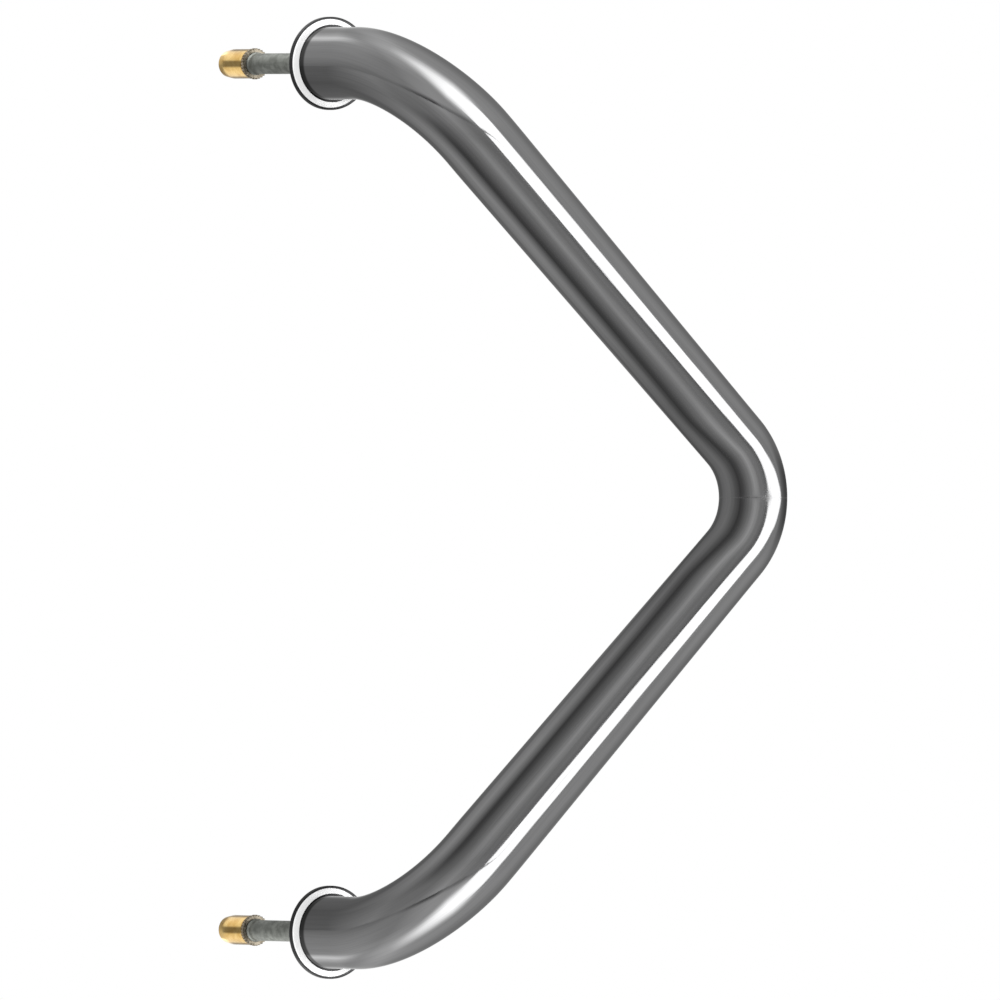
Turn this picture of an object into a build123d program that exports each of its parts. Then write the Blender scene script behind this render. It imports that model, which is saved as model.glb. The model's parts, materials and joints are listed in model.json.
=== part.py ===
"""Door pull handle: a bent, tapered steel tube on two polished roses, held by studs and brass nuts.

The door face is the plane y = 0. The handle stands out from it towards -Y, the studs go through the
door towards +Y, +Z is up and the bend of the V points to +X. The origin is midway between the studs.
"""
import os
from math import sqrt

from build123d import *

os.makedirs("parts", exist_ok=True)

# Driving dimensions, in millimetres

# Bent tube
fixing_centres = 300.0  # between the two studs
apex_reach = 150.0  # from the line of the studs to where the limbs' centrelines would cross
projection = 55.4  # from the door face to the tube's centreline
end_bend_radius = 37.0  # where each limb turns back to the door
apex_bend_radius = 27.4  # where the two limbs meet
end_diameter = 25.0  # tube at the rose
limb_diameter = 27.0  # tube where a limb leaves its end bend
apex_diameter = 23.7  # tube round the apex bend
tube_wall = 1.8

# Plug inside each tube end
plug_length = 14.0
plug_fit = 0.03  # radial room for the braze between plug and tube
plug_edge = 0.6

# Rose
rose_margin = 3.6  # how far the rose shows round the tube
rose_thickness = 2.4
rose_edge_radius = 0.6
seat_depth = 1.0  # locating recess for the tube's end
seat_room = 0.7  # radial gap round the tube in that recess
stud_hole_room = 0.2  # radial

# Stud, threaded at both ends, with a plain shank through the door
thread_diameter = 8.0
thread_fit = 0.03  # radial, between a thread's crests and the piece screwed on it
thread_chamfer = 0.8
shank_diameter = 7.2
thread_in_plug = 11.0
thread_before_ring = 1.5  # thread that shows in front of the lock ring

# Lock ring and brass nut
door_room = 47.2  # from the door face to the lock ring
ring_diameter = 10.8
ring_thickness = 1.4
tooth_count = 30
tooth_depth = 0.4
nut_diameter = 10.2
nut_length = 15.7
nut_lead_length = 3.5  # taper at the nut's far end, along its axis
nut_lead_depth = 0.5  # the same taper, across its axis
nut_mouth_chamfer = 0.25
stud_end_inset = 1.0  # the stud stops this far inside the nut

# Sizes worked out from them
thread_radius = thread_diameter / 2
shank_radius = shank_diameter / 2
threaded_bore_radius = thread_radius + thread_fit
rose_radius = end_diameter / 2 + rose_margin
tube_end_y = seat_depth - rose_thickness
ring_far_y = door_room + ring_thickness
nut_far_y = ring_far_y + nut_length


# The tube, swept edge by edge along its centreline, outside first and then the hollow
upper_end = (0, tube_end_y, fixing_centres / 2)
upper_corner = (0, -projection, fixing_centres / 2)
apex_corner = (apex_reach, -projection, 0)
lower_corner = (0, -projection, -fixing_centres / 2)
lower_end = (0, tube_end_y, -fixing_centres / 2)

with BuildLine() as centreline:
    FilletPolyline(
        upper_end,
        upper_corner,
        apex_corner,
        lower_corner,
        lower_end,
        radius=[end_bend_radius, apex_bend_radius, end_bend_radius],
    )

# Tube diameter where each straight or bend starts, and at the very end
half_diameters = [end_diameter, end_diameter, limb_diameter, apex_diameter]
station_diameters = half_diameters + half_diameters[::-1]
path_edges = centreline.wire().order_edges()
stretches = list(zip(path_edges, station_diameters[:-1], station_diameters[1:]))

with BuildPart() as handle_tube:
    for inset, mode in ((0, Mode.ADD), (tube_wall, Mode.SUBTRACT)):
        for stretch, first_diameter, last_diameter in stretches:
            with BuildSketch(Plane(stretch @ 0, z_dir=stretch % 0)):
                Circle(first_diameter / 2 - inset)
            with BuildSketch(Plane(stretch @ 1, z_dir=stretch % 1)):
                Circle(last_diameter / 2 - inset)
            sweep(path=stretch, multisection=True, mode=mode)
handle_tube.part.label = "handle_tube"
export_step(handle_tube.part, "parts/handle_tube.step")


# The fixings, alike at both ends
for side, height in (("upper", fixing_centres / 2), ("lower", -fixing_centres / 2)):
    # Sketch planes across the stud's axis, facing away from the room
    door_face = Plane(origin=(0, 0, height), x_dir=(1, 0, 0), z_dir=(0, 1, 0))
    stud_axis = Axis((0, 0, height), (0, 1, 0))

    with BuildPart() as end_plug:
        with BuildSketch(door_face.offset(tube_end_y)):
            Circle(end_diameter / 2 - tube_wall - plug_fit)
            Circle(threaded_bore_radius, mode=Mode.SUBTRACT)
        extrude(amount=-plug_length)
        inner_face = end_plug.faces().sort_by(Axis.Y)[0]
        chamfer(inner_face.outer_wire().edges(), length=plug_edge)
    end_plug.part.label = f"{side}_end_plug"
    export_step(end_plug.part, f"parts/{side}_end_plug.step")

    with BuildPart() as rose:
        with BuildSketch(door_face):
            Circle(rose_radius)
            Circle(thread_radius + stud_hole_room, mode=Mode.SUBTRACT)
        extrude(amount=-rose_thickness)
        front_face = rose.faces().sort_by(Axis.Y)[0]
        fillet(front_face.outer_wire().edges(), radius=rose_edge_radius)
        with BuildSketch(door_face.offset(-rose_thickness)):
            Circle(end_diameter / 2 + seat_room)
        extrude(amount=seat_depth, mode=Mode.SUBTRACT)
    rose.part.label = f"{side}_rose"
    export_step(rose.part, f"parts/{side}_rose.step")

    # Half section of the stud: along its axis, then out from it
    half_section = Plane(origin=(0, 0, height), x_dir=(0, 1, 0), z_dir=(1, 0, 0))
    inner_end = tube_end_y - thread_in_plug
    outer_end = nut_far_y - stud_end_inset
    shank_end = door_room - thread_before_ring
    with BuildPart() as stud:
        with BuildSketch(half_section):
            with BuildLine():
                Polyline(
                    (inner_end, 0),
                    (inner_end, thread_radius - thread_chamfer),
                    (inner_end + thread_chamfer, thread_radius),
                    (0, thread_radius),
                    (0, shank_radius),
                    (shank_end, shank_radius),
                    (shank_end + thread_radius - shank_radius, thread_radius),
                    (outer_end - thread_chamfer, thread_radius),
                    (outer_end, thread_radius - thread_chamfer),
                    (outer_end, 0),
                    close=True,
                )
            make_face()
        revolve(axis=stud_axis)
    stud.part.label = f"{side}_stud"
    export_step(stud.part, f"parts/{side}_stud.step")

    with BuildPart() as lock_ring:
        with BuildSketch(door_face.offset(door_room)):
            Circle(ring_diameter / 2)
            with PolarLocations(ring_diameter / 2, tooth_count):
                Rectangle(tooth_depth * sqrt(2), tooth_depth * sqrt(2), rotation=45, mode=Mode.SUBTRACT)
            Circle(threaded_bore_radius, mode=Mode.SUBTRACT)
        extrude(amount=ring_thickness)
    lock_ring.part.label = f"{side}_lock_ring"
    export_step(lock_ring.part, f"parts/{side}_lock_ring.step")

    with BuildPart() as brass_nut:
        with BuildSketch(door_face.offset(ring_far_y)):
            Circle(nut_diameter / 2)
            Circle(threaded_bore_radius, mode=Mode.SUBTRACT)
        extrude(amount=nut_length)
        far_face = brass_nut.faces().sort_by(Axis.Y)[-1]
        rim = far_face.outer_wire().edges()
        mouth = far_face.inner_wires()[0].edges()
        chamfer(rim, length=nut_lead_depth, length2=nut_lead_length, reference=far_face)
        chamfer(mouth, length=nut_mouth_chamfer)
    brass_nut.part.label = f"{side}_brass_nut"
    export_step(brass_nut.part, f"parts/{side}_brass_nut.step")
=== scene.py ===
"""Looks of a door pull handle: a satin steel tube on polished roses, with plated studs and brass nuts.

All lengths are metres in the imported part's frame: the door face is y = 0, the handle stands out towards
-y, the bend of the V points to +x and z is up.
"""
import json
from math import cos, pi, radians, sin, sqrt

import bmesh
import bpy
import numpy as np
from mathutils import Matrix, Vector


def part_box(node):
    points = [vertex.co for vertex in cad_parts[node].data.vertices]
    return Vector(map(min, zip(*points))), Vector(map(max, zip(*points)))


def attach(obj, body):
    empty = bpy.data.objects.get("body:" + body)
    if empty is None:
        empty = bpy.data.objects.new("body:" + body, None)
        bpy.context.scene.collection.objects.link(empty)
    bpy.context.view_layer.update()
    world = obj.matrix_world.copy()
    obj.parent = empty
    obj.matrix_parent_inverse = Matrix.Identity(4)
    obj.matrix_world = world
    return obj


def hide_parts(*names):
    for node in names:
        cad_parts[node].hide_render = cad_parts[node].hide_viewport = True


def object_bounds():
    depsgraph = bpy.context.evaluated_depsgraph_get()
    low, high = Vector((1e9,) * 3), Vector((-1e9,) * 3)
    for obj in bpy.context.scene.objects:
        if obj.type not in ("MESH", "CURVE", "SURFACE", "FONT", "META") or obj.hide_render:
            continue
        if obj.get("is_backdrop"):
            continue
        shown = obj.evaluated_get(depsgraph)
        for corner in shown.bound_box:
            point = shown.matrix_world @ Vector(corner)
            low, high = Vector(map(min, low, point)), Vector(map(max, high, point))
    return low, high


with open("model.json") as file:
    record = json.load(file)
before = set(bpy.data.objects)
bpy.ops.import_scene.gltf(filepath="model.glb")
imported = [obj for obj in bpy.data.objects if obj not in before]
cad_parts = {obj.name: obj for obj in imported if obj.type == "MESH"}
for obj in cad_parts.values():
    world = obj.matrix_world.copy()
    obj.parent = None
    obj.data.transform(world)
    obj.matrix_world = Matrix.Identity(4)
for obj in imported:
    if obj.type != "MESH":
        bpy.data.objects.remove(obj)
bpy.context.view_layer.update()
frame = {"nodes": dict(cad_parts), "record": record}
mm_per_metre = 1000


# The bent tube
# Drawn steel tube, necked down towards the middle, bent into a V and turned back to the door at both
# ends. It is ground and satin polished along its length, which leaves faint lines that follow the bends.
fixing_centres = frame["record"]["mounts"][0]["dims"]["spacing_y_mm"] / mm_per_metre
tube_end_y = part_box("handle_tube")[1].y
apex_reach = 0.150
projection = 0.0554
end_bend_radius = 0.037
apex_bend_radius = 0.0274
end_radius = 0.0125
limb_radius = 0.0135
apex_radius = 0.01185
tube_wall = 0.0018
neck_blend = 0.020  # length over which one taper runs into the next
neck_samples = 2000
tube_step = 0.0012
tube_sides = 144
bore_stride = 3  # the bore is hardly seen, so it has only every third row
tube_grey = (0.300, 0.300, 0.302)
tube_grey_dark = (0.262, 0.262, 0.264)
tube_end_painted_shade = (0.070, 0.070, 0.070)  # painted shade: the last few millimetres, down in the rose's recess, are darkened
tube_edge_tint = (0.60, 0.60, 0.60)  # steel seen at a slant is no brighter than face on
tube_tones = (0.30, 0.66)  # the noise levels of the darkest and palest lines
fine_line_share = 0.45
tube_roughness = 0.05
fine_line_roughness = 0.03
broad_band_roughness = 0.02
end_shade_start = 0.0032
end_shade_full = 0.0018


def bent_path(corners, bend_radii, step):
    """Straight runs joined by arcs that touch them. A corner of turn t is cut back by radius * tan(t / 2),
    and its arc swings the tangent and a side vector about the axis square to both runs.

    Returns points, tangents, side vectors and, for each run or arc, the length at which it starts."""
    corners = np.array(corners, float)
    runs = np.diff(corners, axis=0)
    headings = runs / np.linalg.norm(runs, axis=1)[:, None]
    side = np.array([1.0, 0.0, 0.0])
    place = corners[0]
    points, tangents, sides, starts = [], [], [], [0.0]
    for heading, onward, corner, radius in zip(headings, headings[1:], corners[1:], bend_radii):
        turn = np.arccos(heading @ onward)
        arc_start = corner - radius * np.tan(turn / 2) * heading
        length = np.linalg.norm(arc_start - place)
        along = np.linspace(0, length, int(length / step), endpoint=False)[:, None]
        points.append(place + along * heading)
        tangents.append(np.repeat(heading[None], len(along), axis=0))
        sides.append(np.repeat(side[None], len(along), axis=0))
        axis = np.cross(heading, onward) / np.sin(turn)
        inward = np.cross(axis, heading)
        angle = np.linspace(0, turn, int(radius * turn / step), endpoint=False)[:, None]
        points.append(arc_start + radius * (np.sin(angle) * heading + (1 - np.cos(angle)) * inward))
        tangents.append(np.cos(angle) * heading + np.sin(angle) * inward)
        kept = (side @ axis) * axis
        swung = side - kept
        sides.append(kept + np.cos(angle) * swung + np.sin(angle) * np.cross(axis, swung))
        side = kept + np.cos(turn) * swung + np.sin(turn) * np.cross(axis, swung)
        place = arc_start + radius * (np.sin(turn) * heading + (1 - np.cos(turn)) * inward)
        starts += [starts[-1] + length, starts[-1] + length + radius * turn]
    length = np.linalg.norm(corners[-1] - place)
    along = np.linspace(0, length, int(length / step))[:, None]
    points.append(place + along * headings[-1])
    tangents.append(np.repeat(headings[-1][None], len(along), axis=0))
    sides.append(np.repeat(side[None], len(along), axis=0))
    starts.append(starts[-1] + length)
    return np.concatenate(points), np.concatenate(tangents), np.concatenate(sides), np.array(starts)


def grid_piece(name, grid, along, material, ring=False, sharp_angle=35):
    """A closed surface from a grid of points: rows follow a profile, columns go round and meet.

    With ring, the last row also meets the first. Otherwise one flat face closes each end. The UV map holds
    the turn, from 0 to 1, and along, the profile's length in metres. Whichever way the profile runs, the
    faces are turned to look outwards."""
    rows, columns = grid.shape[:2]
    row_count = rows if ring else rows - 1
    row = np.arange(row_count)[:, None]
    column = np.arange(columns)[None]
    next_row = (row + 1) % rows
    next_column = (column + 1) % columns
    corners = [(row, column), (next_row, column), (next_row, next_column), (row, next_column)]
    quads = np.stack([r * columns + c for r, c in corners], axis=-1).reshape(-1, 4)
    faces = quads.tolist()
    if not ring:
        faces.append(list(range(columns)))
        faces.append(list(range(rows * columns - 1, (rows - 1) * columns - 1, -1)))
    mesh = bpy.data.meshes.new(name)
    mesh.from_pydata(grid.reshape(-1, 3).tolist(), [], faces)
    lengths = np.append(along, along[0])
    zero = np.zeros((row_count, columns))
    turns = [zero + column, zero + column, zero + column + 1, zero + column + 1]
    ends = [zero + lengths[row], zero + lengths[row + 1], zero + lengths[row + 1], zero + lengths[row]]
    quad_uv = np.stack([np.stack(turns, -1) / columns, np.stack(ends, -1)], axis=-1).reshape(-1, 2)
    cap_uv = np.zeros((len(mesh.loops) - len(quad_uv), 2))
    uv_map = mesh.uv_layers.new(name="turn_and_length")
    uv_map.data.foreach_set("uv", np.concatenate([quad_uv, cap_uv]).ravel())
    shell = bmesh.new()
    shell.from_mesh(mesh)
    bmesh.ops.recalc_face_normals(shell, faces=shell.faces)
    shell.to_mesh(mesh)
    shell.free()
    mesh.shade_smooth()
    mesh.set_sharp_from_angle(angle=radians(sharp_angle))
    mesh.materials.append(material)
    piece = bpy.data.objects.new(name, mesh)
    bpy.context.scene.collection.objects.link(piece)
    return piece


class Shade:
    """An output socket of a node tree. Sums, differences and products of shades add Math nodes."""

    def __init__(self, tree, socket=None):
        self.tree = tree
        self.socket = socket

    def node(self, kind, settings=None, inputs=None, output=0):
        """Adds a node, sets its settings, then gives its inputs, by name or number, values or shades."""
        made = self.tree.nodes.new(kind)
        for key, value in (settings or {}).items():
            if key == "stops":
                ramp = made.color_ramp
                while len(ramp.elements) < len(value):
                    ramp.elements.new(1.0)
                for element, (position, colour) in zip(ramp.elements, value):
                    element.position = position
                    element.color = (*colour, 1.0)
            else:
                setattr(made, key, value)
        for key, value in (inputs or {}).items():
            if isinstance(value, Shade):
                self.tree.links.new(value.socket, made.inputs[key])
            else:
                made.inputs[key].default_value = value
        return Shade(self.tree, made.outputs[output])

    def math(self, operation, *values):
        return self.node("ShaderNodeMath", {"operation": operation}, dict(enumerate(values)))

    def __add__(self, other):
        return self.math("ADD", self, other)

    __radd__ = __add__

    def __sub__(self, other):
        return self.math("SUBTRACT", self, other)

    def __rsub__(self, other):
        return self.math("SUBTRACT", other, self)

    def __mul__(self, other):
        return self.math("MULTIPLY", self, other)

    __rmul__ = __mul__

    def ease(self, low, high):
        """0 below low and 1 above high, with a smooth step between them."""
        sockets = {"Value": self, "From Min": low, "From Max": high}
        return self.node("ShaderNodeMapRange", {"interpolation_type": "SMOOTHSTEP"}, sockets)

    def ramp(self, stops):
        """A level for each shade: straight lines between stops of (shade, level), and flat beyond them."""
        first = stops[0][0]
        span = stops[-1][0] - first
        greys = [((shade - first) / span, (level, level, level)) for shade, level in stops]
        return self.node("ShaderNodeValToRGB", {"stops": greys}, {0: (self - first) * (1 / span)})

    def between(self, low, high):
        """The level low where this shade is 0 and high where it is 1."""
        return low + self * (high - low)

    def mix(self, low, high):
        """The colour low where this shade is 0 and high where it is 1."""
        ends = {0: self, 6: low, 7: high}
        return self.node("ShaderNodeMix", {"data_type": "RGBA"}, ends, output=2)

    def feed(self, node, name):
        self.tree.links.new(self.socket, node.inputs[name])


def new_metal(name):
    """A bare metal, with a shade to grow its nodes from and its shader."""
    material = bpy.data.materials.new(name)
    material.use_nodes = True
    shader = material.node_tree.nodes["Principled BSDF"]
    shader.inputs["Metallic"].default_value = 1.0
    return material, Shade(material.node_tree), shader


def opaque(colour):
    return (*colour, 1.0)


def polishing_lines(tree, across, lengthways):
    """Noise drawn out along the piece: the turn becomes a circle, so that the pattern has no seam."""
    uv_map = tree.node("ShaderNodeUVMap", {"uv_map": "turn_and_length"})
    turn = tree.node("ShaderNodeSeparateXYZ", inputs={0: uv_map}, output=0)
    length = tree.node("ShaderNodeSeparateXYZ", inputs={0: uv_map}, output=1)
    angle = turn * (2 * pi)
    circle = {0: tree.math("COSINE", angle) * across, 1: tree.math("SINE", angle) * across}
    drawn_out = tree.node("ShaderNodeCombineXYZ", inputs={**circle, 2: length * lengthways})
    return tree.node("ShaderNodeTexNoise", inputs={"Vector": drawn_out, "Scale": 1.0, "Detail": 3.0})


tube_steel, tree, shader = new_metal("tube_steel")
fine_lines = polishing_lines(tree, across=34, lengthways=45)
broad_bands = polishing_lines(tree, across=7, lengthways=16)
tone = fine_lines * fine_line_share + broad_bands * (1 - fine_line_share)
polished = tone.ease(*tube_tones).mix(opaque(tube_grey_dark), opaque(tube_grey))
place = tree.node("ShaderNodeTexCoord", output="Object")
depth = tree.node("ShaderNodeSeparateXYZ", inputs={0: place}, output=1)
# Painted shade darkens the tube's last few millimetres, where it sits in the rose's recess.
end_painted_shade = depth.ease(tube_end_y - end_shade_start, tube_end_y - end_shade_full)
end_painted_shade.mix(polished, opaque(tube_end_painted_shade)).feed(shader, "Base Color")
line_roughness = fine_lines * fine_line_roughness + broad_bands * broad_band_roughness
(tube_roughness + line_roughness).feed(shader, "Roughness")
shader.inputs["Specular Tint"].default_value = opaque(tube_edge_tint)
relief = tree.node("ShaderNodeBump", inputs={"Strength": 0.03, "Distance": 0.0002, "Height": fine_lines})
relief.feed(shader, "Normal")

half_centres = fixing_centres / 2
tube_corners = [
    (0, tube_end_y, half_centres),
    (0, -projection, half_centres),
    (apex_reach, -projection, 0),
    (0, -projection, -half_centres),
    (0, tube_end_y, -half_centres),
]
bend_radii = [end_bend_radius, apex_bend_radius, end_bend_radius]
path, heading, side, starts = bent_path(tube_corners, bend_radii, tube_step)
path_length = np.append(0, np.cumsum(np.linalg.norm(np.diff(path, axis=0), axis=1)))
half_radii = [end_radius, end_radius, limb_radius, apex_radius]
even_length = np.linspace(-neck_blend, starts[-1] + neck_blend, neck_samples)
even_radius = np.interp(even_length, starts, half_radii + half_radii[::-1])
blend_count = int(neck_blend / (even_length[1] - even_length[0])) | 1
blended = np.convolve(even_radius, np.ones(blend_count) / blend_count, mode="same")
tube_radius = np.interp(path_length, even_length, blended)

turns = np.linspace(0, 2 * pi, tube_sides, endpoint=False)
lift = np.cross(heading, side)
spokes = side[:, None] * np.cos(turns)[None, :, None] + lift[:, None] * np.sin(turns)[None, :, None]
outside = path[:, None] + tube_radius[:, None, None] * spokes
inside = path[::-1, None] + (tube_radius - tube_wall)[::-1, None, None] * spokes[::-1]
inside_rows = np.append(np.arange(0, len(path) - 1, bore_stride), len(path) - 1)
wall_grid = np.concatenate([outside, inside[inside_rows]])
wall_length = np.concatenate([path_length, path_length[::-1][inside_rows]])
tube = grid_piece("bent_tube", wall_grid, wall_length, tube_steel, ring=True)
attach(tube, "root")
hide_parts("handle_tube")


# The end plugs
# Turned steel plugs brazed into the tube's ends, tapped for the studs. The roses and the tube hide them.
plug_grey = (0.30, 0.30, 0.31)
plug_grey_worn = (0.36, 0.36, 0.36)
plug_roughness = 0.30
plug_mark_roughness = 0.15


def turning_marks(tree, pitch):
    """Fine rings left by a lathe tool: noise that changes along y, the axis of the fixings, alone."""
    place = tree.node("ShaderNodeTexCoord", output="Object")
    along_axis = tree.node("ShaderNodeSeparateXYZ", inputs={0: place}, output=1)
    settings = {"noise_dimensions": "1D"}
    return tree.node("ShaderNodeTexNoise", settings, {"W": along_axis, "Scale": 1 / pitch, "Detail": 2.0})


plug_steel, tree, shader = new_metal("plug_steel")
marks = turning_marks(tree, pitch=0.0003)
marks.mix(opaque(plug_grey), opaque(plug_grey_worn)).feed(shader, "Base Color")
(plug_roughness + marks * plug_mark_roughness).feed(shader, "Roughness")
for end in ("upper", "lower"):
    frame["nodes"][f"{end}_end_plug"].material_slots[0].material = plug_steel


# The roses
# Turned steel discs that cover the holes in the door. The front is plated bright white, and the rim and
# the recess for the tube's end carry painted shade, a dark colour for the shadow at the edge and in the
# recess.
rose_edge_radius = 0.0006
rose_recess_room = 0.0007  # between the tube's end and the recess
rose_recess_radius = end_radius + rose_recess_room
rose_recess_depth = 0.0010
rose_hole_radius = 0.0042
rose_break = 0.00012  # sharp edges are broken by this much
rose_sides = 192
rose_edge_points = 9
rose_white = (0.95, 0.95, 0.95)
rose_white_worn = (0.91, 0.91, 0.91)
rose_painted_shade = (0.045, 0.045, 0.046)
rose_back_grey = (0.45, 0.45, 0.45)
rose_roughness = 0.22
rose_smear_roughness = 0.08
rose_shade_zone_roughness = 0.16
rose_plate_metal = 0.10  # the plating is a satin between paint and mirror
rose_plate_radius = 0.0152  # the plated front is a circle inside the rim
rose_plate_offset = 0.0007  # and lies this far off centre, towards -x
rose_plate_depth = 0.0003  # it wraps this far round the edge
rose_plate_inset = 0.0003  # it stops this short of the recess


def lathe_grid(profile, height, sides):
    """A profile of (y, radius) points carried round the stud's axis, which lies along y at that height."""
    y, radius = np.array(profile, float).T
    angle = np.linspace(0, 2 * pi, sides, endpoint=False)
    x = radius[:, None] * np.cos(angle)
    z = radius[:, None] * np.sin(angle) + height
    return np.stack([x, np.repeat(y[:, None], sides, axis=1), z], axis=-1)


def profile_length(profile):
    steps = np.linalg.norm(np.diff(np.array(profile, float), axis=0), axis=1)
    return np.append(0, np.cumsum(steps))


def from_stud_axis(tree, offset=0.0):
    """Distance from the nearer stud's axis, or from a line that lies beside it by the offset along x. One
    axis is half the fixing centres above z = 0, and the other is as far below."""
    place = tree.node("ShaderNodeTexCoord", output="Object")
    sideways = tree.node("ShaderNodeSeparateXYZ", inputs={0: place}, output=0) - offset
    height = tree.node("ShaderNodeSeparateXYZ", inputs={0: place}, output=2)
    above = tree.math("ABSOLUTE", height) - half_centres
    return tree.math("SQRT", sideways * sideways + above * above)


rose_radius = (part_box("upper_rose")[1].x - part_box("upper_rose")[0].x) / 2
rose_front_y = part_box("upper_rose")[0].y
rose_steel, tree, shader = new_metal("rose_steel")
place = tree.node("ShaderNodeTexCoord", output="Object")
smears = tree.node("ShaderNodeTexNoise", inputs={"Vector": place, "Scale": 160.0, "Detail": 3.0})
depth = tree.node("ShaderNodeSeparateXYZ", inputs={0: place}, output=1)
outward = from_stud_axis(tree)
from_plate_middle = from_stud_axis(tree, -rose_plate_offset)
off_plate = from_plate_middle.ease(rose_plate_radius, rose_plate_radius + rose_break)
plate_back = rose_front_y + rose_plate_depth
behind_plate = depth.ease(plate_back, plate_back + rose_break)
# Painted shade: the rim outside the plated circle is dark, for the shade at the disc's edge.
rim_painted_shade = tree.math("MAXIMUM", off_plate, outward.ease(rose_recess_radius, rose_radius) * behind_plate)
plate_start = rose_recess_radius + rose_plate_inset
# Painted shade: the recess round the tube's end is dark, for the shadow in the gap.
recess_painted_shade = 1 - outward.ease(plate_start - rose_break, plate_start)
at_back = depth.ease(-2 * rose_break, -rose_break)
white = smears.mix(opaque(rose_white_worn), opaque(rose_white))
# Both painted shades take the dark colour, and they are also metal with their own roughness.
painted_rim_and_recess_shade = tree.math("MAXIMUM", rim_painted_shade, recess_painted_shade)
front = painted_rim_and_recess_shade.mix(white, opaque(rose_painted_shade))
at_back.mix(front, opaque(rose_back_grey)).feed(shader, "Base Color")
painted_shade_or_back = tree.math("MAXIMUM", painted_rim_and_recess_shade, at_back)
(rose_plate_metal + painted_shade_or_back * (1 - rose_plate_metal)).feed(shader, "Metallic")
worn_roughness = smears * rose_smear_roughness + painted_shade_or_back * rose_shade_zone_roughness
(rose_roughness + worn_roughness).feed(shader, "Roughness")

for end in ("upper", "lower"):
    low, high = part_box(f"{end}_rose")
    corner = np.linspace(0, pi / 2, rose_edge_points)
    edge_y = low.y + rose_edge_radius * (1 - np.sin(corner))
    edge_r = rose_radius - rose_edge_radius * (1 - np.cos(corner))
    rose_profile = [
        (high.y, rose_hole_radius),
        (high.y, rose_radius - rose_break),
        (high.y - rose_break, rose_radius),
        *zip(edge_y, edge_r),
        (low.y, rose_recess_radius + rose_break),
        (low.y + rose_break, rose_recess_radius),
        (low.y + rose_recess_depth, rose_recess_radius),
        (low.y + rose_recess_depth, rose_hole_radius),
    ]
    rose_grid = lathe_grid(rose_profile, (low.z + high.z) / 2, rose_sides)
    rose = grid_piece(f"{end}_rose_disc", rose_grid, profile_length(rose_profile), rose_steel, ring=True)
    rose.visible_glossy = False  # the tube's foot, darkened with painted shade, shows no image of the rose
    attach(rose, "root")
    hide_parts(f"{end}_rose")


# The studs
# Zinc-plated steel studs with rolled M8 threads at both ends. The front end is screwed into the tube's
# plug, the plain shank crosses the door and the back end carries the lock ring and the brass nut.
stud_shank_radius = 0.0036
stud_thread_pitch = 0.00125
stud_root_radius = 0.00332
stud_flank_rise = 1.3  # the flanks rise this much faster than those of a sharp thread
stud_root_flat = 0.15
stud_chamfer = 0.0008
stud_shank_end = 0.0457
stud_runout = 0.0006
stud_row_step = 0.00012
stud_sides = 64
zinc_pale = (0.36, 0.375, 0.345)
zinc_dull = (0.22, 0.23, 0.21)
zinc_tones = (0.35, 0.68)
zinc_roughness = 0.46
zinc_cloud_roughness = 0.14

stud_zinc, tree, shader = new_metal("stud_zinc")
place = tree.node("ShaderNodeTexCoord", output="Object")
cloudy = tree.node("ShaderNodeTexNoise", inputs={"Vector": place, "Scale": 420.0, "Detail": 4.0})
cloudy.ease(*zinc_tones).mix(opaque(zinc_dull), opaque(zinc_pale)).feed(shader, "Base Color")
(zinc_roughness + cloudy * zinc_cloud_roughness).feed(shader, "Roughness")

for end in ("upper", "lower"):
    low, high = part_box(f"{end}_stud")
    crest = (high.x - low.x) / 2
    row_count = int((high.y - low.y) / stud_row_step)
    row_y = np.linspace(low.y, high.y, row_count)[:, None]
    turn = np.linspace(0, 1, stud_sides, endpoint=False)[None]
    wave = np.abs((row_y / stud_thread_pitch - turn) % 1 - 0.5) * 2
    flank = np.clip(wave * stud_flank_rise - stud_root_flat, 0, 1)
    thread = stud_root_radius + (crest - stud_root_radius) * flank
    before_back_end = np.clip((stud_shank_end - row_y) / stud_runout + 1, 0, 1)
    on_shank = np.clip(row_y / stud_runout, 0, 1) * before_back_end
    plain = thread + (stud_shank_radius - thread) * on_shank
    to_end = np.minimum(row_y - low.y, high.y - row_y)
    stud_radius = np.minimum(plain, crest - stud_chamfer + to_end)
    stud_x = stud_radius * np.cos(2 * pi * turn)
    stud_z = stud_radius * np.sin(2 * pi * turn) + (low.z + high.z) / 2
    stud_grid = np.stack([stud_x, row_y + 0 * turn, stud_z], axis=-1)
    stud = grid_piece(f"{end}_threaded_stud", stud_grid, row_y[:, 0], stud_zinc)
    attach(stud, "root")
    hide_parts(f"{end}_stud")


# The lock rings
# Stamped steel rings with teeth round the rim and a dull, yellowed plating. Each is trapped against the
# end of its brass nut.
ring_tooth_count = 30
ring_tooth_depth = 0.0004
ring_tooth_samples = 16
ring_break = 0.0002
ring_pale = (0.26, 0.23, 0.18)
ring_dull = (0.12, 0.105, 0.08)
ring_rim_pale = (0.50, 0.44, 0.34)  # the teeth are rubbed bright
ring_rim_dull = (0.30, 0.25, 0.17)
ring_tones = (0.35, 0.65)
ring_roughness = 0.38
ring_cloud_roughness = 0.16

ring_zinc, tree, shader = new_metal("ring_zinc")
place = tree.node("ShaderNodeTexCoord", output="Object")
depth = tree.node("ShaderNodeSeparateXYZ", inputs={0: place}, output=1)
cloudy = tree.node("ShaderNodeTexNoise", inputs={"Vector": place, "Scale": 900.0, "Detail": 3.0})
patches = cloudy.ease(*ring_tones)
plated = patches.mix(opaque(ring_dull), opaque(ring_pale))
rubbed = patches.mix(opaque(ring_rim_dull), opaque(ring_rim_pale))
ring_front_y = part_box("upper_lock_ring")[0].y
behind_front = depth.ease(ring_front_y + 0.5 * ring_break, ring_front_y + 1.5 * ring_break)
behind_front.mix(plated, rubbed).feed(shader, "Base Color")
(ring_roughness + cloudy * ring_cloud_roughness).feed(shader, "Roughness")

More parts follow.
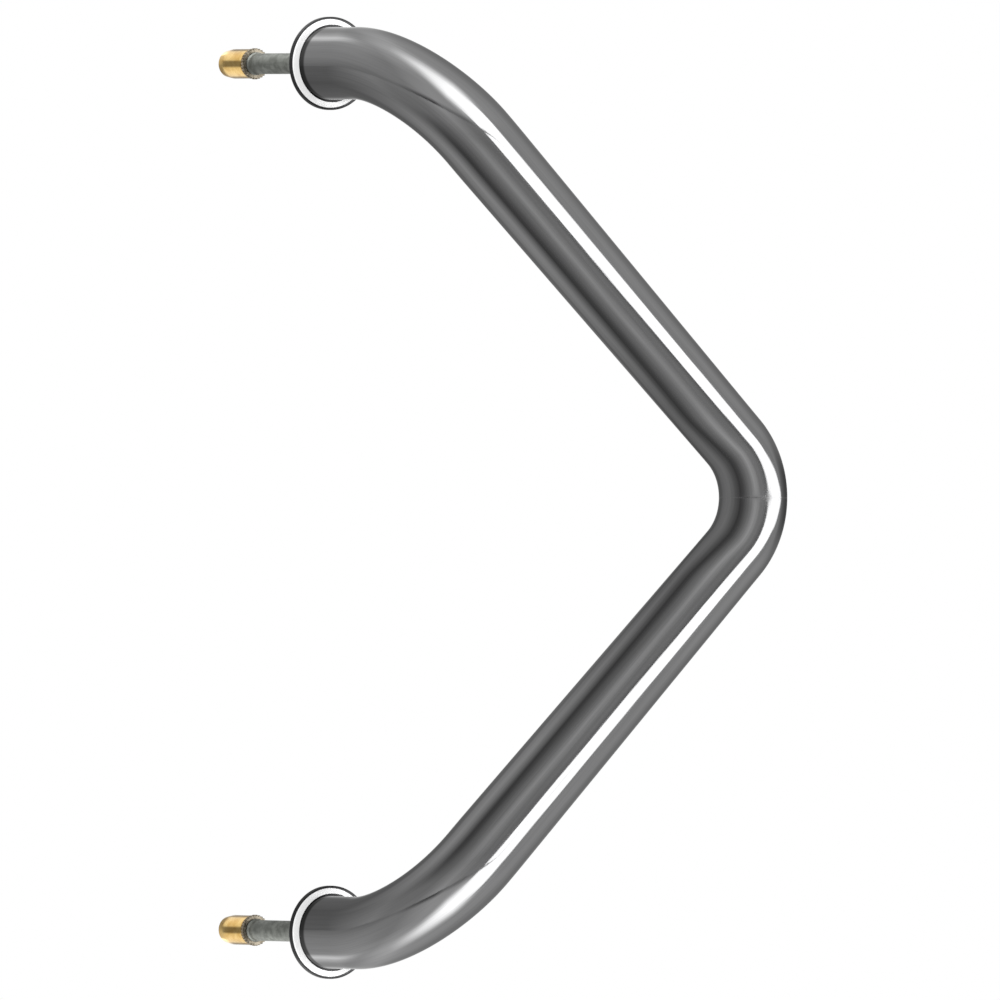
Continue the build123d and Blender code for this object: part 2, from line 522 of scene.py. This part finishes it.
for end in ("upper", "lower"):
    low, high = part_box(f"{end}_lock_ring")
    bore = (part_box(f"{end}_stud")[1].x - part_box(f"{end}_stud")[0].x) / 2
    ring_sides = ring_tooth_count * ring_tooth_samples
    turn = np.arange(ring_sides) / ring_tooth_samples
    crown = (high.z - low.z) / 2
    notch = np.abs(turn % 1 - 0.5) * 2 * pi * crown / ring_tooth_count
    rim = crown - np.clip(ring_tooth_depth - notch, 0, None)
    shoulder = rim - ring_break
    ring_rows_r = np.stack([0 * rim + bore, shoulder, rim, rim, shoulder, 0 * rim + bore])
    ring_rows_y = np.array([high.y, high.y, high.y - ring_break, low.y + ring_break, low.y, low.y])
    angle = 2 * pi * turn / ring_tooth_count
    ring_x = ring_rows_r * np.cos(angle)
    ring_z = ring_rows_r * np.sin(angle) + (low.z + high.z) / 2
    ring_y = np.repeat(ring_rows_y[:, None], ring_sides, axis=1)
    ring_grid = np.stack([ring_x, ring_y, ring_z], axis=-1)
    ring_length = profile_length(np.stack([ring_rows_y, ring_rows_r[:, 0]], axis=1))
    ring = grid_piece(f"{end}_toothed_ring", ring_grid, ring_length, ring_zinc, ring=True)
    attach(ring, "root")
    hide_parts(f"{end}_lock_ring")


# The brass nuts
# Round nuts turned from brass bar, tapered at the far end so that they find their hole. They are left
# bright from the lathe.
nut_lead_length = 0.0035
nut_lead_depth = 0.0005
nut_mouth_chamfer = 0.00025
nut_bore_radius = 0.00403
nut_front_chamfer = 0.0003
nut_sides = 128
brass_bright = (0.86, 0.60, 0.22)
brass_deep = (0.66, 0.40, 0.10)
brass_tarnish_and_shade = (0.16, 0.090, 0.030)
brass_tones = (0.36, 0.62)
brass_mark_share = 0.4
brass_roughness = 0.10
brass_mark_roughness = 0.08
tarnish_and_shade_width = 0.0007  # beside the lock ring: tarnish and painted shade where the nut meets the ring

nut_brass, tree, shader = new_metal("nut_brass")
place = tree.node("ShaderNodeTexCoord", output="Object")
depth = tree.node("ShaderNodeSeparateXYZ", inputs={0: place}, output=1)
marks = turning_marks(tree, pitch=0.00025)
clouds = tree.node("ShaderNodeTexNoise", inputs={"Vector": place, "Scale": 350.0, "Detail": 3.0})
tone = marks * brass_mark_share + clouds * (1 - brass_mark_share)
turned = tone.ease(*brass_tones).mix(opaque(brass_deep), opaque(brass_bright))
nut_front_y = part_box("upper_brass_nut")[0].y
# Tarnish and painted shade darken the nut beside the lock ring, where the two parts meet.
tarnish_and_shade_edge = depth + (clouds - 0.5) * tarnish_and_shade_width
tarnish_and_shade = 1 - tarnish_and_shade_edge.ease(nut_front_y + 0.3 * tarnish_and_shade_width, nut_front_y + tarnish_and_shade_width)
tarnish_and_shade.mix(turned, opaque(brass_tarnish_and_shade)).feed(shader, "Base Color")
(brass_roughness + marks * brass_mark_roughness).feed(shader, "Roughness")

for end in ("upper", "lower"):
    low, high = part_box(f"{end}_brass_nut")
    nut_radius = (high.x - low.x) / 2
    nut_profile = [
        (high.y, nut_bore_radius + nut_mouth_chamfer),
        (high.y, nut_radius - nut_lead_depth),
        (high.y - nut_lead_length, nut_radius),
        (low.y + nut_front_chamfer, nut_radius),
        (low.y, nut_radius - nut_front_chamfer),
        (low.y, nut_bore_radius),
        (high.y - nut_mouth_chamfer, nut_bore_radius),
    ]
    nut_grid = lathe_grid(nut_profile, (low.z + high.z) / 2, nut_sides)
    nut = grid_piece(f"{end}_round_nut", nut_grid, profile_length(nut_profile), nut_brass, ring=True)
    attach(nut, "root")
    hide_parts(f"{end}_brass_nut")


# The camera
# A very long lens at the height of the handle's middle, in front of the door and off to the side away from
# the bend.
view_azimuth = radians(32.3)
view_elevation = radians(0.386)
view_distance = 15.0
view_target = Vector((0.0701, 0.0, -0.0010))
frame_width = 0.34614  # what the square frame spans at the target
sensor_width = 0.036
nearest_seen = 1.0
farthest_seen = 30.0

to_camera = Vector((
    -sin(view_azimuth) * cos(view_elevation),
    -cos(view_azimuth) * cos(view_elevation),
    sin(view_elevation),
))
camera_data = bpy.data.cameras.new("long_lens")
camera_data.sensor_width = sensor_width * mm_per_metre
camera_data.lens = sensor_width * mm_per_metre * view_distance / frame_width
camera_data.clip_start = nearest_seen
camera_data.clip_end = farthest_seen
camera = bpy.data.objects.new("long_lens", camera_data)
camera.location = view_target + view_distance * to_camera
camera.rotation_euler = (-to_camera).to_track_quat("-Z", "Y").to_euler()
bpy.context.scene.collection.objects.link(camera)
bpy.context.scene.camera = camera


# The light tent
# A grey photographer's tent all round the handle, seen only in the metal, with a strip light that arches
# over each half. A band lies where metal of one slope mirrors it to the camera. The slope is the halfway
# direction from tent to camera: how far it leans to the camera's right, and how far up or down.
tent_radius = 2.2
tent_centre = (0.07, -0.05, 0.0)
tent_rows = 32
tent_columns = 64
tent_pole_gap = 0.0005  # the first and last rows stop this angle short of the poles
horizon_bands = [
    (-0.90, 0.36),
    (-0.65, 0.49),
    (-0.45, 0.45),
    (-0.35, 0.33),
    (-0.25, 0.20),
    (-0.15, 0.12),
    (-0.06, 0.44),
    (0.15, 0.38),
    (0.28, 0.54),
    (0.45, 0.72),
    (0.80, 0.60),
    (0.85, 0.34),
    (0.93, 0.20),
]
haze_bands = [
    (-0.85, 0.52),
    (-0.55, 0.60),
    (-0.35, 0.57),
    (-0.25, 0.70),
    (-0.10, 0.84),
    (0.30, 0.80),
    (0.75, 0.78),
    (0.85, 0.60),
]
haze_start_left = (0.015, 0.09)  # the slopes at which the horizon turns into haze
haze_start_right = (0.12, 0.40)
haze_sides = (0.45, 0.65)
zenith_gain = 0.5  # the haze on the left is this much brighter overhead
zenith_slopes = (0.3, 0.7)
zenith_sides = (-0.3, 0.1)
far_dimming = 0.28  # the haze loses this much far above the strip
far_slopes = (0.20, 0.48)
left_cloth_edge = (-0.62, -0.38)
left_cloth_bands = [
    (0.00, 0.42),
    (0.15, 0.575),
    (0.45, 0.78),
    (0.57, 0.82),
    (0.62, 1.05),
    (0.66, 1.75),
    (0.70, 2.25),
    (0.75, 1.80),
    (0.81, 1.60),
    (0.86, 1.55),
    (0.92, 1.50),
]
strip_start = (0.78, -0.02)
strip_heading = (-0.783, 0.622)
strip_glow = 3.7
strip_rounding = 0.03  # rounds the corner where the strips of the two halves meet
strip_inner_rounding = 0.4  # the inner corner has this share of it
strip_outer_blur = 0.010
strip_inner_blur = 0.012
strip_soft_blur = 0.10
strip_soft_stretch = (0.42, 0.66)  # the strip goes from crisp to soft along this stretch
strip_end_stretch = (1.42, 1.55)
strip_depths = [
    (0.10, 0.120),
    (0.19, 0.124),
    (0.41, 0.250),
    (0.71, 0.225),
    (0.96, 0.125),
    (1.20, 0.085),
    (1.40, 0.200),
]
strip_edges = [
    (0.10, 0.058),
    (0.17, 0.020),
    (0.25, 0.020),
    (0.45, 0.055),
    (0.72, 0.090),
    (0.96, 0.060),
    (1.20, 0.020),
]
strip_levels = [(0.71, 1.00), (0.96, 0.74), (1.19, 0.35), (1.39, 0.24)]


def stage_piece(name, points, faces, material):
    mesh = bpy.data.meshes.new(name)
    mesh.from_pydata([tuple(p) for p in points], [], faces)
    mesh.materials.append(material)
    piece = bpy.data.objects.new(name, mesh)
    bpy.context.scene.collection.objects.link(piece)
    piece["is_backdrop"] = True
    return piece


def seen_in_metal_only(piece):
    piece.visible_camera = False
    piece.visible_diffuse = False
    piece.visible_shadow = False


def new_glow(name):
    """A material that only gives off light, with a shade to grow its nodes from and its shader."""
    material = bpy.data.materials.new(name)
    material.use_nodes = True
    nodes = material.node_tree.nodes
    nodes.remove(nodes["Principled BSDF"])
    glow = nodes.new("ShaderNodeEmission")
    material.node_tree.links.new(glow.outputs[0], nodes["Material Output"].inputs["Surface"])
    return material, Shade(material.node_tree), glow


to_right = (cos(view_azimuth), -sin(view_azimuth), 0.0)
tent_cloth, tree, glow = new_glow("tent_cloth")
place = tree.node("ShaderNodeTexCoord", output="Object")
from_middle = tree.node("ShaderNodeVectorMath", {"operation": "SUBTRACT"}, {0: place, 1: tent_centre})
outward = tree.node("ShaderNodeVectorMath", {"operation": "NORMALIZE"}, {0: from_middle})
summed = tree.node("ShaderNodeVectorMath", {"operation": "ADD"}, {0: outward, 1: tuple(to_camera)})
halfway = tree.node("ShaderNodeVectorMath", {"operation": "NORMALIZE"}, {0: summed})
dot = {"operation": "DOT_PRODUCT"}
lean_right = tree.node("ShaderNodeVectorMath", dot, {0: halfway, 1: to_right}, output="Value")
lean_up = tree.math("ABSOLUTE", tree.node("ShaderNodeSeparateXYZ", inputs={0: halfway}, output=2))
from_start_right = lean_right - strip_start[0]
from_start_up = lean_up - strip_start[1]
rounded_up = tree.math("SQRT", lean_up * lean_up + strip_rounding**2)
along_strip = from_start_right * strip_heading[0] + from_start_up * strip_heading[1]
above_strip = from_start_right * strip_heading[1] - from_start_up * strip_heading[0]
overhead_left = lean_up.ease(*zenith_slopes) * (1 - lean_right.ease(*zenith_sides))
haze = lean_right.ramp(haze_bands) * (1 + zenith_gain * overhead_left)
haze = haze * (1 - far_dimming * above_strip.ease(*far_slopes))
haze_on_left = lean_up.ease(*haze_start_left)
haze_on_right = lean_up.ease(*haze_start_right)
haze_share = lean_right.ease(*haze_sides).between(haze_on_left, haze_on_right)
cloth = haze_share.between(lean_right.ramp(horizon_bands), haze)
rounding = (lean_up - rounded_up) * strip_heading[0]
inside_strip = above_strip + rounding * strip_inner_rounding + along_strip.ramp(strip_depths)
outside_strip = above_strip + rounding - along_strip.ramp(strip_edges)
crisp_outer_edge = 1 - outside_strip.ease(-strip_outer_blur, strip_outer_blur)
crisp_strip = crisp_outer_edge * inside_strip.ease(-strip_inner_blur, strip_inner_blur)
soft_outer_edge = 1 - outside_strip.ease(-strip_soft_blur, strip_soft_blur)
soft_strip = soft_outer_edge * inside_strip.ease(-strip_soft_blur, strip_soft_blur)
strip = along_strip.ease(*strip_soft_stretch).between(crisp_strip, soft_strip)
strip = strip * (1 - along_strip.ease(*strip_end_stretch))
lit_cloth = strip.between(cloth, along_strip.ramp(strip_levels) * strip_glow)
on_left_cloth = 1 - lean_right.ease(*left_cloth_edge)
on_left_cloth.between(lit_cloth, lean_up.ramp(left_cloth_bands)).feed(glow, "Color")

polar = np.linspace(tent_pole_gap, pi - tent_pole_gap, tent_rows)[:, None]
azimuth = np.linspace(0, 2 * pi, tent_columns, endpoint=False)[None]
sphere_x = np.sin(polar) * np.cos(azimuth)
sphere_y = np.sin(polar) * np.sin(azimuth)
sphere = np.stack([sphere_x, sphere_y, np.cos(polar) + 0 * azimuth], -1)
tent = grid_piece("light_tent", tent_radius * sphere + np.array(tent_centre), polar[:, 0], tent_cloth)
tent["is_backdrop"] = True
seen_in_metal_only(tent)


# The divider
# A nearly flat card level with the apex, so that each half of the handle mirrors its own half of the tent.
# Its grey sectors fan out from where the limbs would cross, which a straight limb mirrors as straight
# bands. Angles here are in degrees, and each reach is a distance from that crossing.
divider_hole = 0.0237  # the tube passes through it
card_sides = 96
near_fan_bands = [
    (-80, 0.50),
    (-66, 0.48),
    (-54, 0.42),
    (-42, 0.60),
    (-30, 0.66),
    (-20, 0.72),
    (-12, 0.58),
    (-4, 0.35),
    (3, 0.125),
    (9, 0.165),
    (18, 0.30),
    (30, 0.47),
    (42, 0.76),
    (54, 0.61),
    (66, 0.46),
    (78, 0.50),
    (88, 0.42),
    (94, 0.34),
]
far_fan_bands = [
    (-110, 0.60),
    (-90, 0.42),
    (-66, 0.34),
    (-54, 0.285),
    (-42, 0.385),
    (-30, 0.47),
    (-18, 0.54),
    (-6, 0.46),
    (18, 0.47),
    (30, 0.62),
    (42, 0.74),
    (54, 0.60),
    (66, 0.49),
    (90, 0.45),
]
far_fan_gains = [(0.30, 0.85), (0.42, 0.97), (0.60, 1.02), (1.10, 1.12)]
far_fan_reach = (0.18, 0.40)  # the near bands turn into the far ones over this reach
apex_twist = 15  # the sectors turn by this much close to the apex
apex_twist_reach = (0.030, 0.055)
apex_gain = 0.20  # the sectors towards the front are this much brighter close to the apex
apex_gain_reach = (0.040, 0.075)
apex_gain_sectors = (4, 20)
apex_dims = [(0.03, 0.66), (0.06, 0.61), (0.10, 0.82), (0.14, 1.00)]
apex_dim_sectors = (-6, 6)
light_edge_turn = radians(95)
light_edge_away = [(0.031, 0.010), (0.045, 0.025)]
light_edge_blur = 0.003
light_front_blur = 0.01
light_end = 150
light_end_blur = 2
tube_turn = 14  # between the sectors round the tube and those round the crossing
tube_turn_reach = (0.022, 0.031)
tube_light_edges = [(divider_hole, 94), (0.030, 104)]
tube_light_blur = 3
tube_light_reach = (0.028, 0.034)

card, tree, glow = new_glow("divider_card")
place = tree.node("ShaderNodeTexCoord", output="Object")
apex_corner = (apex_reach, -projection, 0.0)
from_apex = tree.node("ShaderNodeVectorMath", {"operation": "SUBTRACT"}, {0: apex_corner, 1: place})
reach = tree.node("ShaderNodeVectorMath", {"operation": "LENGTH"}, {0: from_apex}, output="Value")
leftward = tree.node("ShaderNodeSeparateXYZ", inputs={0: from_apex}, output=0)
frontward = tree.node("ShaderNodeSeparateXYZ", inputs={0: from_apex}, output=1)
fan_angle = tree.math("ARCTAN2", frontward, leftward) * (180 / pi)
tube_inset = apex_bend_radius * (sqrt(2) - 1)  # from the crossing to the middle of the tube
tube_angle = tree.math("ARCTAN2", frontward, leftward - tube_inset) * (180 / pi) - tube_turn
turned_angle = reach.ease(*tube_turn_reach).between(tube_angle, fan_angle)
sector = turned_angle - apex_twist * (1 - reach.ease(*apex_twist_reach))
far_fan = sector.ramp(far_fan_bands) * reach.ramp(far_fan_gains)
fan = reach.ease(*far_fan_reach).between(sector.ramp(near_fan_bands), far_fan)
fan = fan * (1 + apex_gain * sector.ease(*apex_gain_sectors) * (1 - reach.ease(*apex_gain_reach)))
dim = sector.ease(*apex_dim_sectors).between(reach.ramp(apex_dims), 1)
past_edge = frontward * cos(light_edge_turn) - leftward * sin(light_edge_turn)
past_edge = past_edge - reach.ramp(light_edge_away)
far_lit = past_edge.ease(-light_edge_blur, light_edge_blur) * frontward.ease(0.0, light_front_blur)
near_lit = (tube_angle - reach.ramp(tube_light_edges)).ease(-tube_light_blur, tube_light_blur)
lit = reach.ease(*tube_light_reach).between(near_lit, far_lit)
lit = lit * (1 - fan_angle.ease(light_end - light_end_blur, light_end + light_end_blur))
lit.between(fan * dim, strip_glow).feed(glow, "Color")

card_turn = np.linspace(0, 2 * pi, card_sides, endpoint=False)
card_circle = np.stack([np.cos(card_turn), np.sin(card_turn), 0 * card_turn], -1)
inner_edge = np.array(apex_corner) + divider_hole * card_circle
outer_edge = np.array(tent_centre) + tent_radius * card_circle
outer_edge[:, 2] = -tent_radius * np.tan(view_elevation)  # what is upright mirrors this slope edge on
spoke = np.arange(card_sides)
after = (spoke + 1) % card_sides
card_faces = np.stack([spoke, spoke + card_sides, after + card_sides, after], -1).tolist()
divider = stage_piece("divider", np.concatenate([inner_edge, outer_edge]), card_faces, card)
seen_in_metal_only(divider)


# The nut collars
# A small paper collar behind each brass nut, seen only in the metal. It is pale above and below and dark
# at the side that faces the camera, so that the round nut shows two bright bands.
collar_y = 0.078
collar_inner_radius = 0.0125
collar_outer_radius = 0.025
collar_bands = [(16, 0.25), (30, 0.95), (60, 1.15), (104, 1.05), (112, 0.42)]

collar_paper, tree, glow = new_glow("collar_paper")
place = tree.node("ShaderNodeTexCoord", output="Object")
sideways = tree.node("ShaderNodeSeparateXYZ", inputs={0: place}, output=0)
height = tree.node("ShaderNodeSeparateXYZ", inputs={0: place}, output=2)
off_axis = tree.math("ABSOLUTE", tree.math("ABSOLUTE", height) - half_centres)
collar_angle = tree.math("ARCTAN2", off_axis, 0 - sideways) * (180 / pi)
collar_angle.ramp(collar_bands).feed(glow, "Color")

for end, stud_height in (("upper", half_centres), ("lower", -half_centres)):
    collar_profile = [(collar_y, collar_inner_radius), (collar_y, collar_outer_radius)]
    collar_grid = lathe_grid(collar_profile, stud_height, card_sides).reshape(-1, 3)
    collar = stage_piece(f"{end}_collar", collar_grid, card_faces, collar_paper)
    seen_in_metal_only(collar)


# The floor, lamps and sky
# A pale floor far below, a soft lamp on the camera's right, a second one over the camera that mirrors in
# nothing, and a white background.
floor_z = -2.4
floor_size = 5.0
floor_roughness = 0.9
floor_pale = (0.84, 0.84, 0.84)
floor_grey = (0.80, 0.80, 0.80)
lamp_size = 0.5
lamp_distance = 3.0
side_watts = 6.0
side_direction = Vector((2.0, -2.2, 0.0)).normalized()
fill_watts = 52.0
fill_lift = Vector((0.0, 0.0, 0.15))
sky_level = 0.6

floor_paint = bpy.data.materials.new("floor_paint")
floor_paint.use_nodes = True
tree = Shade(floor_paint.node_tree)
shader = floor_paint.node_tree.nodes["Principled BSDF"]
shader.inputs["Roughness"].default_value = floor_roughness
place = tree.node("ShaderNodeTexCoord", output="Object")
mottle = tree.node("ShaderNodeTexNoise", inputs={"Vector": place, "Scale": 2.0})
mottle.mix(opaque(floor_grey), opaque(floor_pale)).feed(shader, "Base Color")
floor_signs = [(-1, -1), (1, -1), (1, 1), (-1, 1)]
floor_corners = [(x * floor_size, y * floor_size, floor_z) for x, y in floor_signs]
stage_piece("floor", floor_corners, [(0, 1, 2, 3)], floor_paint)


def area_lamp(name, direction, watts):
    data = bpy.data.lights.new(name, "AREA")
    data.size = lamp_size
    data.energy = watts
    lamp = bpy.data.objects.new(name, data)
    lamp.location = lamp_distance * direction
    lamp.rotation_euler = (-direction).to_track_quat("-Z", "Y").to_euler()
    bpy.context.scene.collection.objects.link(lamp)
    return lamp


area_lamp("side_lamp", side_direction, side_watts)
fill_lamp = area_lamp("fill_lamp", (to_camera + fill_lift).normalized(), fill_watts)
fill_lamp.visible_glossy = False

world = bpy.data.worlds.new("white_sky")
bpy.context.scene.world = world
world.use_nodes = True
tree = Shade(world.node_tree)
camera_ray = tree.node("ShaderNodeLightPath", output="Is Camera Ray")
glossy_ray = tree.node("ShaderNodeLightPath", output="Is Glossy Ray")
transmission_ray = tree.node("ShaderNodeLightPath", output="Is Transmission Ray")
white = tree.math("MINIMUM", camera_ray + glossy_ray + transmission_ray, 1.0)
sky = world.node_tree.nodes["Background"]
sky.inputs["Color"].default_value = (1, 1, 1, 1)
(sky_level + white * (1 - sky_level)).feed(sky, "Strength")
bpy.context.scene.view_settings.view_transform = "Standard"


# The box round all shown pieces but the backdrop
low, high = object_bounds()
